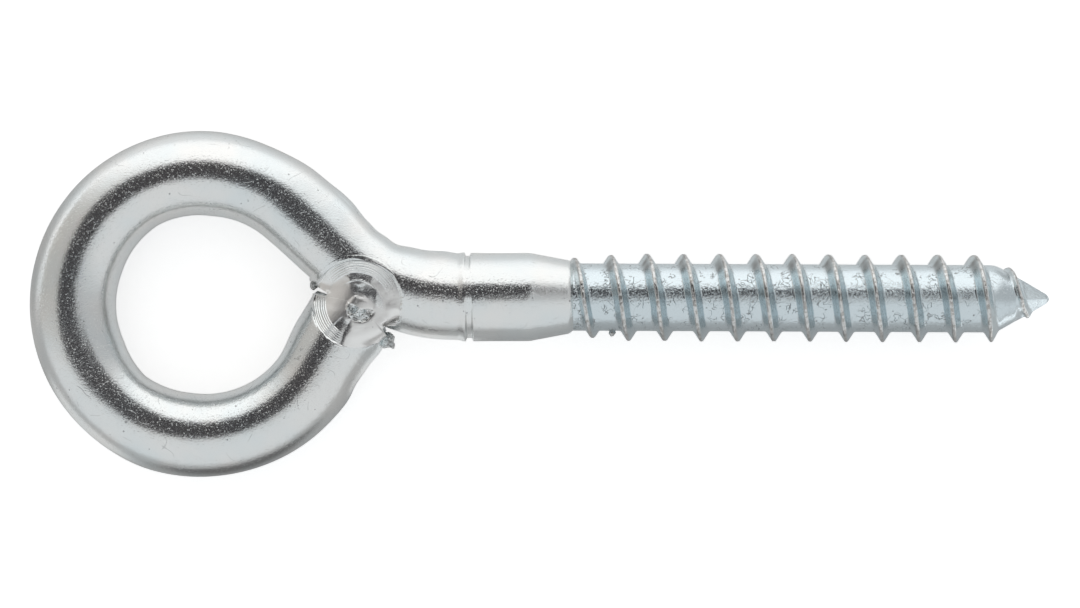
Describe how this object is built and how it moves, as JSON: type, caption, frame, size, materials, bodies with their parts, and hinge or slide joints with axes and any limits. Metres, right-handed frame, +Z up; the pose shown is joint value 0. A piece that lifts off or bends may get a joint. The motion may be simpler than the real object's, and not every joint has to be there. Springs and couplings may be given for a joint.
{
  "type": "screw eye",
  "caption": "Heavy screw eye: a round steel bar bent and welded into a closed ring, with a tapered shank, coarse wood thread and conical point.",
  "frame": {"origin": "on the screw axis, halfway along the plain shank", "axes": "+X along the screw axis towards the point, the ring lies in the XY plane, +Z up off the surface the screw eye lies on"},
  "size_m": [0.1403, 0.0477, 0.0122],
  "materials": {
    "zinc_plated_steel": "bright zinc-plated steel, satin, with a fine grain and small scuffs"
  },
  "bodies": {
    "root": {"screw_eye": "zinc_plated_steel"}
  },
  "joints": []
}
